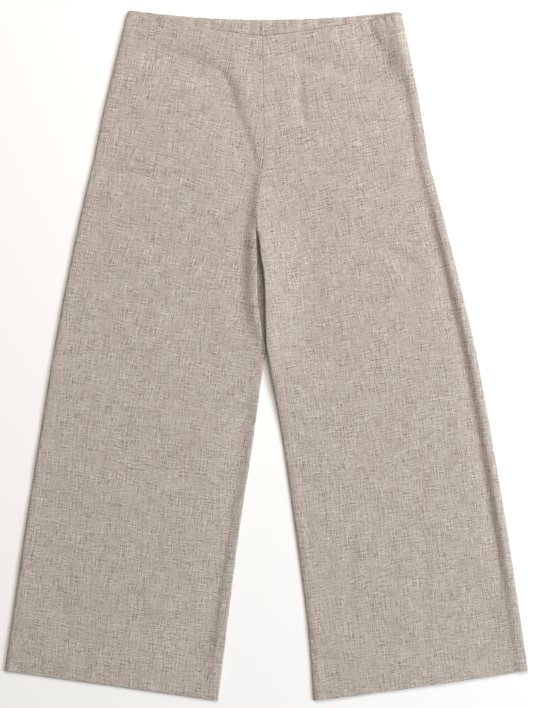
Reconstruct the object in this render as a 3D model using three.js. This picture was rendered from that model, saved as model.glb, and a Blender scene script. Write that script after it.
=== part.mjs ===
// Culottes lying flat on their back, front side up, in millimetres.
// +X is the wearer's left, +Y runs from the hems to the waist, and +Z rises from the surface.
// The origin is the middle of the garment's outline, on the surface that it lies on.
// Each leg has a front panel lying on a back panel. A casing is turned down inside the back waist,
// and a hem is turned up inside each panel's lower edge.
import * as THREE from "three";

const { smoothstep, lerp } = THREE.MathUtils;

// Cloth and seams
const CLOTH = 1.2;
const SEAM_GAP = 0.3;
const LAYER = CLOTH + SEAM_GAP;

// Heights along the middle: the two waist edges, the crotch and the hem corners
const BACK_WAIST_Y = 459;
const FRONT_WAIST_Y = 437;
const CROTCH_Y = 179;
const INNER_HEM_Y = -472.5;
const OUTER_HEM_Y = -432;

// Depths of the turned edges, and of the steps where a panel comes down off them
const CASING_INNER_DEPTH = 35;
const CASING_OUTER_DEPTH = 36;
const TURN_UP_DEPTH = 46;
const STEP_DOWN = 12;
const FOLDED_EDGE = 3;

// How each edge bends between the middle and the side: 1 is straight, and more sags in the middle
const BACK_WAIST_BOW = 2;
const FRONT_WAIST_BOW = 1.35;
const CASING_BOW = 1.1;

// How the layers stand: the front's loft over the back, and the lift of the seamed edges
const LOFT = 1.0;
const LOFT_OVER_TURNED_EDGE = 0.3;
const EDGE_LIFT = 0.8;
const EDGE_ROUND = 10;
const BACK_EDGE_ROUND = 4;

// Grid lines of a panel: the first ones stand at these distances from each long edge
const EDGE_COLUMNS = [0, 4, 12, 22];
const MIDDLE_SPANS = 7;
const RISE_SPANS = 8;
const LEG_SPANS = 19;

// Colours of the linen's two sides
const LINEN_OUTSIDE = 0xb9aea3;
const LINEN_INSIDE = 0xb5a99d;

// Centre seam from the waist to the crotch, then the line where the legs meet, down to where they part
const LEGS_PART = [0, 11];
const CENTRE_LINE = [
  [-6, 459],
  [-6, 437],
  [-4, 308],
  [-6, 262],
  [-11, 226],
  [-14, 179],
  [-10.5, 162],
  [-8, 140],
  [-3.5, 110],
  [-2, 86],
  [-1, 38],
  LEGS_PART,
];

const RIGHT_LEG = {
  side: -1,
  wearer: "right",
  inseam: [
    [-5, -18],
    [-16, -100],
    [-40.5, -264],
    [-66, -472.5],
  ],
  sideSeam: [
    [-190, 472.5],
    [-222.5, 338],
    [-237, 267],
    [-246, 229],
    [-291, 10],
    [-326.5, -210],
    [-358.5, -432],
  ],
  backCornerY: 472.5,
  frontCornerY: 469,
  hemBow: 1,
};

const LEFT_LEG = {
  side: 1,
  wearer: "left",
  inseam: [
    [5, -18],
    [20, -100],
    [43.5, -264],
    [57.5, -374],
    [65, -472.5],
  ],
  sideSeam: [
    [185, 470.5],
    [208, 355],
    [223, 264],
    [236, 215],
    [270.5, 77],
    [290, -10],
    [325, -210],
    [358.5, -432],
  ],
  backCornerY: 470.5,
  frontCornerY: 467,
  hemBow: 1.12,
};

// The largest folds of the front: height above the loft (a trough is negative), half width, the path that
// each follows, and the length over which it fades at its first and last point.
const FOLDS = [
  // crease from the right hip across to the centre seam
  {
    height: -1.0,
    reach: 12,
    fade: [30, 25],
    path: [[-155, 416], [-76, 393], [-53, 366], [-40, 325], [-12, 263]],
  },
  // puff between that crease and the centre seam
  {
    height: 0.7,
    reach: 18,
    fade: [30, 30],
    path: [[-50, 410], [-22, 340]],
  },
  // soft break across the left front, and a short crease down from it
  {
    height: -0.7,
    reach: 12,
    fade: [30, 30],
    path: [[32, 410], [100, 394], [150, 388]],
  },
  {
    height: -0.6,
    reach: 9,
    fade: [25, 40],
    path: [[46, 390], [54, 300]],
  },
  // gathers at the left end of the waist
  {
    height: -0.9,
    reach: 12,
    fade: [5, 25],
    path: [[142, 462], [172, 418], [193, 380]],
  },
  // trough inside the left side seam's allowance
  {
    height: -1.0,
    reach: 9,
    fade: [25, 5],
    path: [[194, 345], [219, 205], [263, 40], [296, -130], [314, -260], [322, -432]],
  },
  // trough beside the crotch on the right leg, and the ridge between it and the legs' fold line
  {
    height: -1.0,
    reach: 8,
    fade: [25, 60],
    path: [[-16, 215], [-27, 150], [-31, 90], [-31, 20]],
  },
  {
    height: 3.5,
    reach: 7,
    fade: [15, 30],
    path: [[-15, 185], [-16, 100], [-16, 50]],
  },
  // trough inside the right leg's inseam allowance
  {
    height: -1.0,
    reach: 9,
    fade: [30, 5],
    path: [[-20, -40], [-34, -120], [-66, -290], [-92, -455]],
  },
  // raised inner thigh of the left leg, and a slack diagonal below the hip
  {
    height: 3.5,
    reach: 24,
    fade: [20, 90],
    path: [[4, 165], [16, 90], [20, -10], [30, -90]],
  },
  {
    height: -0.5,
    reach: 14,
    fade: [30, 30],
    path: [[128, 157], [212, 128]],
  },
  // faint breaks across the right leg
  {
    height: -0.5,
    reach: 12,
    fade: [35, 35],
    path: [[-235, 250], [-90, 242]],
  },
  {
    height: -0.4,
    reach: 14,
    fade: [35, 35],
    path: [[-165, 75], [-95, 70]],
  },
];

// x of an edge at height y: a smooth curve through points that run downwards.
function edgeThrough(points) {
  return (y) => {
    let i = 0;
    while (i < points.length - 2 && y < points[i + 1][1]) {
      i += 1;
    }
    const [x0, y0] = points[i];
    const [x1, y1] = points[i + 1];
    const [xBefore, yBefore] = points[Math.max(i - 1, 0)];
    const [xAfter, yAfter] = points[Math.min(i + 2, points.length - 1)];
    const span = y1 - y0;
    const slope0 = ((x1 - xBefore) / (y1 - yBefore)) * span;
    const slope1 = ((xAfter - x0) / (yAfter - y0)) * span;
    const t = (y - y0) / span;
    const start = (1 + 2 * t) * (1 - t) ** 2 * x0 + t * (1 - t) ** 2 * slope0;
    const end = t * t * (3 - 2 * t) * x1 + t * t * (t - 1) * slope1;
    return start + end;
  };
}

// x of a leg's inner edge at height y: the line that both legs share, then the leg's own inseam.
function innerEdge(leg) {
  const shared = edgeThrough(CENTRE_LINE);
  const inseam = edgeThrough([LEGS_PART, ...leg.inseam]);
  return (y) => (y > LEGS_PART[1] ? shared(y) : inseam(y));
}

// One row of a panel runs from height inner at the inner edge to height outer at the side seam.
// layers counts what lies between the front and the back there.
function row(inner, outer, bow = 1, layers = 0) {
  return { inner, outer, bow, layers };
}

// The rows after the first, up to and including the last.
function rowsBetween(first, last, spans) {
  return Array.from({ length: spans }, (_, i) => {
    const t = (i + 1) / spans;
    return row(lerp(first.inner, last.inner, t), lerp(first.outer, last.outer, t));
  });
}

// All rows of a leg from the back's waist edge to the hem, with the places where pieces begin and end.
function legRows(leg) {
  const casingOuterY = leg.backCornerY - CASING_OUTER_DEPTH;
  const casingEnd = row(BACK_WAIST_Y - CASING_INNER_DEPTH, casingOuterY, CASING_BOW, 1);
  const belowCasing = row(casingEnd.inner - STEP_DOWN, casingEnd.outer - STEP_DOWN);
  const crotch = row(CROTCH_Y, CROTCH_Y + leg.frontCornerY - FRONT_WAIST_Y);
  const hem = row(INNER_HEM_Y, OUTER_HEM_Y, leg.hemBow, 2);
  const hemFold = row(hem.inner + FOLDED_EDGE, hem.outer + FOLDED_EDGE, leg.hemBow, 2);
  const turnUpEnd = row(hem.inner + TURN_UP_DEPTH, hem.outer + TURN_UP_DEPTH, leg.hemBow, 2);
  const aboveTurnUp = row(turnUpEnd.inner + STEP_DOWN, turnUpEnd.outer + STEP_DOWN);
  const rows = [
    row(BACK_WAIST_Y, leg.backCornerY, BACK_WAIST_BOW, 1),
    row(FRONT_WAIST_Y, leg.frontCornerY, FRONT_WAIST_BOW, 1),
    row(FRONT_WAIST_Y - FOLDED_EDGE, leg.frontCornerY - FOLDED_EDGE, FRONT_WAIST_BOW, 1),
    casingEnd,
    belowCasing,
    ...rowsBetween(belowCasing, crotch, RISE_SPANS),
    ...rowsBetween(crotch, aboveTurnUp, LEG_SPANS),
    turnUpEnd,
    hemFold,
    hem,
  ];
  return { rows, frontWaist: 1, casingEnd: rows.indexOf(casingEnd), turnUpEnd: rows.indexOf(turnUpEnd) };
}

// The plan points of one row, from -X to +X, each with its distances from the two long edges.
function rowPoints(leg, line) {
  const innerX = innerEdge(leg)(line.inner) + (leg.side * SEAM_GAP) / 2;
  const outerX = edgeThrough(leg.sideSeam)(line.outer);
  const width = Math.abs(outerX - innerX);
  const lastColumn = EDGE_COLUMNS[EDGE_COLUMNS.length - 1];
  const middle = Array.from({ length: MIDDLE_SPANS - 1 }, (_, i) => {
    return lerp(lastColumn, width - lastColumn, (i + 1) / MIDDLE_SPANS);
  });
  const distances = [...EDGE_COLUMNS, ...middle, ...EDGE_COLUMNS.map((d) => width - d).reverse()];
  const points = distances.map((fromInner) => {
    const share = fromInner / width;
    const x = lerp(innerX, outerX, share);
    const y = lerp(line.inner, line.outer, share ** line.bow);
    return { x, y, fromInner, fromOuter: width - fromInner, layers: line.layers };
  });
  return leg.side < 0 ? points.reverse() : points;
}

// Height that one fold adds at a plan point.
function foldHeight(fold, x, y) {
  const point = new THREE.Vector2(x, y);
  let travelled = 0;
  let nearest = Infinity;
  let along = 0;
  for (let i = 0; i < fold.path.length - 1; i += 1) {
    const start = new THREE.Vector2(...fold.path[i]);
    const run = new THREE.Vector2(...fold.path[i + 1]).sub(start);
    const length = run.length();
    const share = THREE.MathUtils.clamp(point.clone().sub(start).dot(run) / length ** 2, 0, 1);
    const distance = point.distanceTo(start.clone().addScaledVector(run, share));
    if (distance < nearest) {
      nearest = distance;
      along = travelled + share * length;
    }
    travelled += length;
  }
  const rise = smoothstep(along, 0, fold.fade[0]);
  const fall = smoothstep(travelled - along, 0, fold.fade[1]);
  return fold.height * rise * fall * Math.exp(-((nearest / fold.reach) ** 2));
}

// Which seam a panel's inner edge has at height y: 0 is the centre seam, and 1 is the inseam.
function inseamShare(y) {
  return smoothstep(CROTCH_Y - y, 0, 30);
}

// Underside of a back panel: flat on the surface, and lifted along the side seam and the inseam.
function backUnderside(point) {
  const sideLift = 1 - smoothstep(point.fromOuter, 0, BACK_EDGE_ROUND);
  const inseamLift = (1 - smoothstep(point.fromInner, 0, BACK_EDGE_ROUND)) * inseamShare(point.y);
  return EDGE_LIFT * Math.max(sideLift, inseamLift);
}

// Underside of a front panel: over the back and what lies on it, with the loft and the folds,
// and coming down to the seams.
function frontUnderside(point) {
  const sideFall = smoothstep(point.fromOuter, -1, EDGE_ROUND);
  const seamFall = smoothstep(point.fromInner, -EDGE_ROUND, EDGE_ROUND);
  const inseamFall = smoothstep(point.fromInner, -1, EDGE_ROUND);
  const innerFall = lerp(seamFall, inseamFall, inseamShare(point.y));
  const folds = FOLDS.reduce((sum, fold) => sum + foldHeight(fold, point.x, point.y), 0);
  const slack = point.layers > 0 ? LOFT_OVER_TURNED_EDGE : Math.max(LOFT + folds, 0);
  return backUnderside(point) + LAYER + point.layers * LAYER + slack * sideFall * innerFall;
}

// A closed sheet one cloth thick, over rows of plan points; underside gives its lower face.
function sheet(name, color, rows, underside) {
  const columns = rows[0].length;
  const count = rows.length * columns;
  const positions = [];
  for (const rise of [0, CLOTH]) {
    for (const point of rows.flat()) {
      positions.push(point.x, point.y, underside(point) + rise);
    }
  }
  const indices = [];
  const quad = (a, b, c, d) => indices.push(a, b, c, a, c, d);
  for (let r = 0; r < rows.length - 1; r += 1) {
    for (let c = 0; c < columns - 1; c += 1) {
      const a = r * columns + c;
      const b = a + columns;
      quad(a, a + 1, b + 1, b);
      quad(count + a, count + b, count + b + 1, count + a + 1);
    }
    const start = r * columns;
    const end = start + columns - 1;
    quad(start, start + columns, count + start + columns, count + start);
    quad(end + columns, end, count + end, count + end + columns);
  }
  for (let c = 0; c < columns - 1; c += 1) {
    const last = count - columns + c;
    quad(c + 1, c, count + c, count + c + 1);
    quad(last, last + 1, count + last + 1, count + last);
  }
  const geometry = new THREE.BufferGeometry();
  geometry.setAttribute("position", new THREE.Float32BufferAttribute(positions, 3));
  geometry.setIndex(indices);
  geometry.computeVertexNormals();
  const mesh = new THREE.Mesh(geometry, linen(color));
  mesh.name = name;
  return mesh;
}

function linen(color) {
  return new THREE.MeshStandardMaterial({ color, roughness: 0.95, metalness: 0 });
}

// A piece that lies on the back panel, so many layers up.
function onBack(layersUp) {
  return (point) => backUnderside(point) + layersUp * LAYER;
}

function backPanel(leg, plan) {
  return sheet(`back_leg_${leg.wearer}`, LINEN_OUTSIDE, plan, backUnderside);
}

function frontPanel(leg, plan, places) {
  return sheet(`front_leg_${leg.wearer}`, LINEN_OUTSIDE, plan.slice(places.frontWaist), frontUnderside);
}

function backWaistCasing(leg, plan, places) {
  const rows = plan.slice(0, places.casingEnd + 1);
  return sheet(`back_waist_casing_${leg.wearer}`, LINEN_INSIDE, rows, onBack(1));
}

function hemTurnUp(name, leg, plan, places, layersUp) {
  return sheet(`${name}_${leg.wearer}`, LINEN_INSIDE, plan.slice(places.turnUpEnd), onBack(layersUp));
}

function buildLeg(leg) {
  const { rows, ...places } = legRows(leg);
  const plan = rows.map((line) => rowPoints(leg, line));
  return [
    backPanel(leg, plan),
    backWaistCasing(leg, plan, places),
    hemTurnUp("back_hem", leg, plan, places, 1),
    hemTurnUp("front_hem", leg, plan, places, 2),
    frontPanel(leg, plan, places),
  ];
}

const culottes = new THREE.Group();
culottes.add(...buildLeg(RIGHT_LEG), ...buildLeg(LEFT_LEG));

export default culottes;
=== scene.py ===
"""Culottes in slubbed linen, laid flat on their back with the front side up.

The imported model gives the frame: the corners of every panel are read from its nodes. This script lays a
thin cloth shell over each panel and casing, with turned hems, seam allowances and the creases of a garment
that was folded, worn and smoothed out by hand. Lengths are in metres. +X is the wearer's left, +Y runs
from the hems to the waist, and +Z rises from the surface that the garment lies on.
"""

import logging
import math
from dataclasses import dataclass, field
from enum import Enum

import bpy
import numpy as np
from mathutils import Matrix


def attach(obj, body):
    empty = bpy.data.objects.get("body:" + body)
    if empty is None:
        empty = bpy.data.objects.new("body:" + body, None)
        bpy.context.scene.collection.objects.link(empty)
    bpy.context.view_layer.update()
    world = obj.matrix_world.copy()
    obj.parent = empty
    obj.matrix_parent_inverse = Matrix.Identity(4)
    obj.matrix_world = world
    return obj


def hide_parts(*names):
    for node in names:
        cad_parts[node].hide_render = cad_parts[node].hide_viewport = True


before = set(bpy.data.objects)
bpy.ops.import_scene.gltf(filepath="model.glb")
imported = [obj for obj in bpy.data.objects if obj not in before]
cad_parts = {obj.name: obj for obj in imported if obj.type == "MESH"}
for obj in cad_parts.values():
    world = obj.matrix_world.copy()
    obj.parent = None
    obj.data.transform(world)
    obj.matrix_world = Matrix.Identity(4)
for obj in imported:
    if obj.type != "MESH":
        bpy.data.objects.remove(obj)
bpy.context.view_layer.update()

MM = 0.001
LOG = logging.getLogger("culottes")

CLOTH = 0.6 * MM  # thickness of the linen
FOLD_RADIUS = 0.5 * MM  # a turned edge, at the middle of the cloth
HEM_TURN = 46 * MM  # depth of the turned-up hems
WAIST_TURN = 30 * MM  # depth of the front's turned-in waist
CASING_DEPTH = 35 * MM  # depth of the casing inside the back waist
CROTCH_Y = 0.179  # height of the crotch
LEGS_PART = (0.0, 0.011)  # where the two legs part, in plan


class Side(Enum):
    """Which leg of the wearer a piece belongs to; the value is the sign of its x."""

    RIGHT = -1
    LEFT = 1


class Layer(Enum):
    """Which of the two layers of a leg a panel is."""

    BACK = "back"
    FRONT = "front"


# ---------------------------------------------------------------------------------------------------
# Small helpers
# ---------------------------------------------------------------------------------------------------


def smooth(value: np.ndarray, low: float, high: float) -> np.ndarray:
    """A soft step.

    Args:
        value: Where to read it.
        low: It is 0 up to here.
        high: It is 1 from here.

    Returns:
        The step's height at each value.
    """
    share = np.clip((value - low) / (high - low), 0.0, 1.0)
    return share * share * (3 - 2 * share)


def quarter_round(distance: np.ndarray, radius: float) -> np.ndarray:
    """The profile of a rolled edge.

    Args:
        distance: How far in from the edge.
        radius: Where the roll ends.

    Returns:
        0 at the edge, rising like a quarter circle to 1 at the radius.
    """
    rest = 1 - np.clip(distance / radius, 0.0, 1.0)
    return np.sqrt(np.maximum(1 - rest * rest, 0.0))


def graded_steps(
    start: tuple[float, ...],
    length: float,
    spacing: float,
    end: tuple[float, ...] = (0.0,),
) -> np.ndarray:
    """Distances that stand close at the ends and evenly in the middle.

    Args:
        start: The first distances, from 0 up.
        length: The whole length.
        spacing: About how far apart the middle ones stand.
        end: The last distances, measured back from the far end, from 0 up.

    Returns:
        The distances from 0 to the length.
    """
    first, last = np.array(start), length - np.array(end)[::-1]
    count = max(2, round((last[0] - first[-1]) / spacing) + 1)
    middle = np.linspace(first[-1], last[0], count)
    return np.concatenate([first[:-1], middle, last[1:]])


@dataclass(frozen=True)
class EdgeCurve:
    """A long edge of a panel: x as a smooth function of y, through points that run down from the waist."""

    points: tuple[tuple[float, float], ...]

    def x_at(self, y: np.ndarray) -> np.ndarray:
        """Where the edge is.

        Args:
            y: Heights to read it at.

        Returns:
            The edge's x at each height.
        """
        x, down = np.array(self.points).T
        slope = np.gradient(x, down)
        slope[1:-1] = (x[2:] - x[:-2]) / (down[2:] - down[:-2])
        i = np.clip(np.searchsorted(-down, -y, side="right") - 1, 0, len(x) - 2)
        span = down[i + 1] - down[i]
        t = (y - down[i]) / span
        start = (1 + 2 * t) * (1 - t) ** 2 * x[i] + t * (1 - t) ** 2 * slope[i] * span
        end = t * t * (3 - 2 * t) * x[i + 1] + t * t * (t - 1) * slope[i + 1] * span
        return start + end

    def slope_at(self, y: np.ndarray) -> np.ndarray:
        """Sideways lean of the edge for each metre up, at each height y."""
        step = 10 * MM
        return (self.x_at(y + step) - self.x_at(y - step)) / (2 * step)


# ---------------------------------------------------------------------------------------------------
# The cut, from the frame's corners
# ---------------------------------------------------------------------------------------------------


@dataclass(frozen=True)
class LegCut:
    """The outline of one leg in plan.

    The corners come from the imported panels. What this holds is how the edges bend between them: the side
    seam as (share of the way down, bulge outwards), and the inseam's points between the fork and the hem.
    """

    side: Side
    side_bulge: tuple[tuple[float, float], ...]
    inseam: tuple[tuple[float, float], ...]
    hem_bow: float

    def node(self, piece: str) -> str:
        """The name of this leg's node for a piece such as front_leg."""
        return f"{piece}_{self.side.name.lower()}"

    def corner(self, piece: str, along_x: float, along_y: float) -> tuple[float, float]:
        """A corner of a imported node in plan.

        Args:
            piece: The piece's name without the side.
            along_x: Weight of the distance out to this leg's side.
            along_y: Weight of the height.

        Returns:
            The x and y of the vertex that reaches furthest that way.
        """
        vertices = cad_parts[self.node(piece)].data.vertices
        plan = np.array([v.co[:2] for v in vertices])
        reach = plan @ np.array([along_x * self.side.value, along_y])
        x, y = plan[int(reach.argmax())]
        return float(x), float(y)

    def side_seam(self) -> EdgeCurve:
        """The side seam, from the back's waist corner to the hem's outer corner."""
        top = self.corner("back_leg", 0.0, 1.0)
        foot = self.corner("back_leg", 1.0, 0.0)
        between = [
            (
                top[0] + share * (foot[0] - top[0]) + bulge * self.side.value,
                top[1] + share * (foot[1] - top[1]),
            )
            for share, bulge in self.side_bulge
        ]
        return EdgeCurve((top, *between, foot))

    def grain_line(self) -> EdgeCurve:
        """The line that the lengthwise yarns run along: the side seam without its small bends."""
        seam = self.side_seam()
        top, foot = seam.points[0], seam.points[-1]
        middle_y = (top[1] + foot[1]) / 2
        return EdgeCurve((top, (float(seam.x_at(np.array(middle_y))), middle_y), foot))


# Centre seam from the waist to the crotch, then the line of the legs' fold, down to where they part
CENTRE_LINE = EdgeCurve(
    (
        (-0.006, 0.459),
        (-0.006, 0.437),
        (-0.004, 0.308),
        (-0.006, 0.262),
        (-0.011, 0.226),
        (-0.014, CROTCH_Y),
        (-0.0105, 0.162),
        (-0.008, 0.140),
        (-0.0035, 0.110),
        (-0.002, 0.086),
        (-0.001, 0.038),
        LEGS_PART,
    )
)

RIGHT_LEG = LegCut(
    side=Side.RIGHT,
    side_bulge=(
        (0.149, 7.4 * MM),
        (0.228, 8.7 * MM),
        (0.269, 10.7 * MM),
        (0.379, 14.1 * MM),
        (0.511, 14.4 * MM),
        (0.622, 12.2 * MM),
        (0.803, 7.4 * MM),
    ),
    inseam=((-0.005, -0.018), (-0.016, -0.100), (-0.0405, -0.264)),
    hem_bow=1.0,
)

LEFT_LEG = LegCut(
    side=Side.LEFT,
    side_bulge=(
        (0.128, 0.8 * MM),
        (0.192, -0.9 * MM),
        (0.229, -1.7 * MM),
        (0.283, 1.9 * MM),
        (0.436, 9.9 * MM),
        (0.532, 12.6 * MM),
        (0.754, 9.2 * MM),
    ),
    inseam=((0.005, -0.018), (0.020, -0.100), (0.0435, -0.264), (0.0575, -0.374)),
    hem_bow=1.12,
)


# Distances of the columns that stand close along a panel's long edges, where the cloth rolls over
EDGE_COLUMNS = tuple(d * MM for d in (0, 0.12, 0.35, 0.7, 1.1, 1.7, 2.5, 3.6, 5))


@dataclass
class Plan:
    """Plan points of a sheet, as arrays of rows by columns, with each point's distances to the edges."""

    x: np.ndarray
    y: np.ndarray
    from_inner: np.ndarray
    from_side: np.ndarray
    from_waist: np.ndarray
    from_hem: np.ndarray


@dataclass
class PanelPlan:
    """Lays the rows and columns of one panel between its edges."""

    leg: LegCut
    layer: Layer
    seam_gap: float = 0.1 * MM
    tuck: float = 4 * MM  # how far the right leg runs on under the left one at the fork
    side_columns: tuple[float, ...] = EDGE_COLUMNS
    inner_columns: tuple[float, ...] = EDGE_COLUMNS
    fork_columns: tuple[float, float, float] = (5.8 * MM, 21 * MM, 0.8 * MM)
    column_spacing: float = 2.9 * MM
    corner_round: float = 2 * MM
    corner_reach: tuple[float, float] = (2.5 * MM, 5 * MM)  # along the waist and down the side
    waist_bow_fade: float = 22 * MM
    hem_bow_fade: float = 60 * MM
    turned_inset: float = 3 * MM

    def __post_init__(self) -> None:
        """Reads the corners of the panel from the frame."""
        panel = f"{self.layer.value}_leg"
        self.waist_corner = self.leg.corner(panel, 0.0, 1.0)
        self.waist_centre = self.leg.corner(panel, -5.0, 1.0)
        self.hem_outer = self.leg.corner(panel, 1.0, 0.0)
        self.hem_inner = self.leg.corner(panel, 0.0, -1.0)
        self.side_edge = self.leg.side_seam()
        self.grain_line = self.leg.grain_line()
        self.inner_edge = EdgeCurve((LEGS_PART, *self.leg.inseam, self.hem_inner))
        self.length = self.waist_centre[1] - self.hem_inner[1]
        if self.leg.side is Side.RIGHT and self.layer is Layer.FRONT:
            self.inner_columns = (*self.inner_columns, *np.arange(*self.fork_columns))
        self.waist_bow = 2.0 if self.layer is Layer.BACK else 1.35

    def inner_x(self, y: np.ndarray) -> np.ndarray:
        """The inner edge's x at heights y: the shared line down to the fork, then the inseam."""
        shared = CENTRE_LINE.x_at(np.maximum(y, LEGS_PART[1]))
        if self.leg.side is Side.RIGHT:
            shared = shared + self.tuck * smooth(-y, -CROTCH_Y, -0.150) * smooth(y, 0.012, 0.045)
        x = np.where(y > LEGS_PART[1], shared, self.inner_edge.x_at(np.minimum(y, LEGS_PART[1])))
        return x + self.leg.side.value * self.seam_gap / 2

    def lay(self, down: np.ndarray) -> Plan:
        """Lays rows at these distances down from the waist edge.

        Args:
            down: Distances along the middle, from 0 at the waist to the panel's length at the hem.

        Returns:
            The plan points, from the inner edge to the side seam.
        """
        share = (down / self.length)[:, None]
        inner_y = self.waist_centre[1] + share * (self.hem_inner[1] - self.waist_centre[1])
        outer_y = self.waist_corner[1] + share * (self.hem_outer[1] - self.waist_corner[1])
        inner_x = self.inner_x(inner_y)
        outer_x = self.side_edge.x_at(outer_y)
        width = np.abs(outer_x - inner_x)
        mean_width = float(width.mean())
        across = graded_steps(self.inner_columns, mean_width, self.column_spacing, self.side_columns)
        # The fine columns keep their distance from their edge, and the rest share what is left.
        near, far = self.inner_columns[-1], self.side_columns[-1]
        inside = (across - near) / (mean_width - near - far)
        columns = np.where(
            across <= near,
            across[None, :],
            np.where(
                across >= mean_width - far,
                width - (mean_width - across)[None, :],
                near + inside[None, :] * (width - near - far),
            ),
        )
        u = columns / width
        waist_fade = np.exp(-down[:, None] / self.waist_bow_fade)
        hem_fade = np.exp(-(self.length - down[:, None]) / self.hem_bow_fade)
        bow = 1 + (self.waist_bow - 1) * waist_fade + (self.leg.hem_bow - 1) * hem_fade
        x = inner_x + u * (outer_x - inner_x)
        y = inner_y + (outer_y - inner_y) * u**bow
        near_side = np.exp(-(width - columns) / self.corner_reach[0])
        near_waist = np.exp(-down[:, None] / self.corner_reach[1])
        drop = self.corner_round * near_side * near_waist
        ones = np.ones_like(x)
        return Plan(
            x=x,
            y=y - drop,
            from_inner=columns,
            from_side=width - columns,
            from_waist=down[:, None] * ones,
            from_hem=(self.length - down[:, None]) * ones,
        )

    def draw_in(self, plan: Plan, share: np.ndarray, at_inner: bool) -> None:
        """Draws the sides of the turned rows in, so that they lie between the layers clear of the seams.

        Args:
            plan: The plan points, which are changed.
            share: How far each row is turned, from 0 to 1.
            at_inner: Whether the inner side is drawn in as well as the one at the side seam.
        """
        width = plan.from_inner + plan.from_side
        u = plan.from_inner / width
        shift = self.turned_inset * share * ((1 - u) * at_inner - u)
        plan.x = plan.x + shift * self.leg.side.value
        plan.from_inner = plan.from_inner + shift
        plan.from_side = plan.from_side - shift

    def grain(self, plan: Plan) -> np.ndarray:
        """The weave's own coordinates: across and along the grain.

        Args:
            plan: The plan points.

        Returns:
            Distances across and along the grain, in metres, in a last axis of two.
        """
        lean = self.grain_line.slope_at(plan.y)
        root = np.sqrt(1 + lean * lean)
        away = plan.x - self.grain_line.x_at(plan.y)
        return np.stack([away / root, plan.y * root + away * lean / root], axis=-1)


# ---------------------------------------------------------------------------------------------------
# Creases and the lie of the layers
# ---------------------------------------------------------------------------------------------------


@dataclass(frozen=True)
class Crease:
    """A soft ridge or trough along a given path.

    height is above the lie of the cloth, and negative for a trough. reach is its half width to the left of
    the path as it runs, and lee to the right. fade is how long it takes to rise at each end.
    """

    height: float
    reach: float
    path: tuple[tuple[float, float], ...]
    fade: tuple[float, float] = (30 * MM, 30 * MM)
    lee: float | None = None

    def line(self) -> np.ndarray:
        """The path as closely set points on a smooth curve."""
        points = np.array(self.path)
        if len(points) < 3:
            return points
        ends = np.vstack([2 * points[0] - points[1], points, 2 * points[-1] - points[-2]])
        t = np.linspace(0, 1, 9)[:, None]
        parts = []
        for a, b, c, d in zip(ends, ends[1:], ends[2:], ends[3:], strict=False):
            cubic = (-a + 3 * b - 3 * c + d) * t**3 + (2 * a - 5 * b + 4 * c - d) * t**2
            parts.append(0.5 * (cubic + (c - a) * t + 2 * b)[:-1])
        return np.vstack([*parts, points[-1]])

    def height_at(self, x: np.ndarray, y: np.ndarray) -> np.ndarray:
        """How much the crease adds.

        Args:
            x: Plan x of the points.
            y: Plan y of the points.

        Returns:
            The height added at each point.
        """
        line = self.line()
        nearest = np.full(x.shape, np.inf)
        along = np.zeros(x.shape)
        left = np.zeros(x.shape, bool)
        travelled = 0.0
        for start, end in zip(line, line[1:], strict=False):
            run = end - start
            length = float(np.hypot(*run))
            dx, dy = x - start[0], y - start[1]
            share = np.clip((dx * run[0] + dy * run[1]) / length**2, 0, 1)
            distance = np.hypot(dx - share * run[0], dy - share * run[1])
            closer = distance < nearest
            nearest = np.where(closer, distance, nearest)
            along = np.where(closer, travelled + share * length, along)
            left = np.where(closer, run[0] * dy - run[1] * dx > 0, left)
            travelled += length
        reach = np.where(left, self.reach, self.lee or self.reach)
        ends = smooth(along, 0, self.fade[0]) * smooth(travelled - along, 0, self.fade[1])
        return self.height * ends * np.exp(-((nearest / reach) ** 2))


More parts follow.
